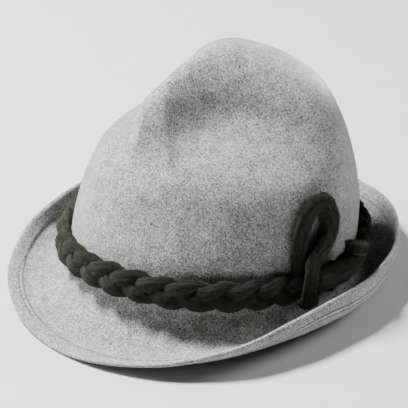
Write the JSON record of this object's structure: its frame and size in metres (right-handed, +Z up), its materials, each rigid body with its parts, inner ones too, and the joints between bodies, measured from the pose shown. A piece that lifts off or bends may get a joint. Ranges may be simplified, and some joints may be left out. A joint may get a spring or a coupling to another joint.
{
  "type": "alpine felt hat",
  "caption": "Felt hat with a ridged, side-dented crown, a brim turned up at the sides and back, and a plaited cord with an upright loop and a bound end.",
  "frame": {"origin": "middle of the hat's outline seen from above, on the surface that the brim rests on", "axes": "+Z up, +Y towards the back of the hat, +X towards the wearer's left, where the loop is"},
  "size_m": [0.2282, 0.28, 0.1632],
  "materials": {
    "felt": "matte mottled light grey wool felt",
    "cord": "matte dark olive wool cord",
    "thread": "matte olive thread"
  },
  "bodies": {
    "root": {"felt_body": "felt", "plait_strand_1": "cord", "plait_strand_2": "cord", "plait_strand_3": "cord", "cord_loop": "cord", "cord_stub": "cord", "stub_binding": "thread"}
  },
  "joints": []
}
